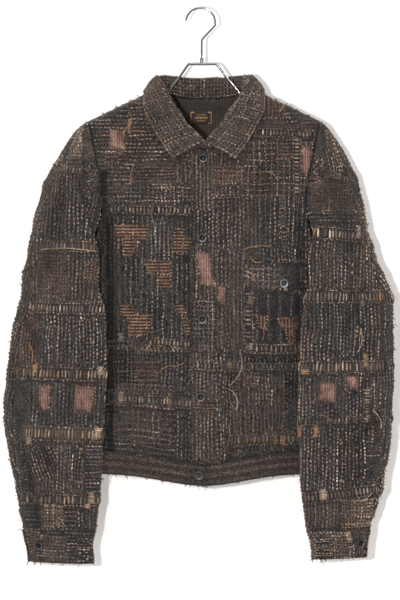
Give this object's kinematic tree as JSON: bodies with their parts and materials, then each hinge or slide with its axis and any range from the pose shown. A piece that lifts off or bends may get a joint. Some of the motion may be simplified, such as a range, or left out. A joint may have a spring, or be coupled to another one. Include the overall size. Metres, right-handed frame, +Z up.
{
  "type": "patched work jacket on a wire hanger",
  "caption": "Cropped patchwork jacket with collar, button front, flap pocket and cuffs, hung on a double-wire chrome hanger.",
  "frame": {"origin": "top of the hook's inside, where a rod carries the hanger", "axes": "+Z up, -Y the jacket's front, +X the wearer's left"},
  "size_m": [0.6246, 0.1563, 0.8933],
  "materials": {
    "boro_cloth": "layered and hand-stitched faded cotton",
    "boro_patch": "brown cotton patch, hand-stitched",
    "dark_cloth": "plain charcoal cotton",
    "orange_plaid": "orange-brown striped cotton patch",
    "pink_cloth": "faded pink-brown cotton patch",
    "lining": "dark cotton with fine stripes",
    "label": "woven label, bare",
    "button": "dark gunmetal",
    "chrome": "polished"
  },
  "bodies": {
    "root": {"back_body": "boro_cloth", "back_yoke": "boro_cloth", "button_cuff_left": "button", "button_cuff_right": "button", "button_front_1": "button", "button_front_2": "button", "button_front_3": "button", "button_front_4": "button", "button_placket": "boro_patch", "button_pocket": "button", "button_waistband": "button", "chest_pocket": "dark_cloth", "collar": "boro_cloth", "cuff_left": "boro_cloth", "cuff_right": "boro_cloth", "front_left": "boro_cloth", "front_right": "boro_cloth", "front_right_yoke": "boro_cloth", "hanger_ferrule": "chrome", "hanger_frame": "chrome", "hanger_hook": "chrome", "neck_label": "label", "neck_lining": "lining", "patch_back_low": "boro_patch", "patch_back_middle": "dark_cloth", "patch_back_side": "orange_plaid", "patch_centre_right": "orange_plaid", "patch_chest_left": "pink_cloth", "patch_chest_right": "orange_plaid", "patch_elbow_left": "boro_patch", "patch_elbow_right": "boro_patch", "patch_forearm_left": "pink_cloth", "patch_forearm_right": "pink_cloth", "patch_hip_left": "boro_patch", "patch_hip_right": "orange_plaid", "patch_lower_right": "boro_patch", "patch_waist_right": "orange_plaid", "pocket_flap": "boro_patch", "sleeve_left_back": "boro_cloth", "sleeve_left_front": "boro_cloth", "sleeve_right_back": "boro_cloth", "sleeve_right_front": "boro_cloth", "waistband": "dark_cloth"}
  },
  "joints": []
}
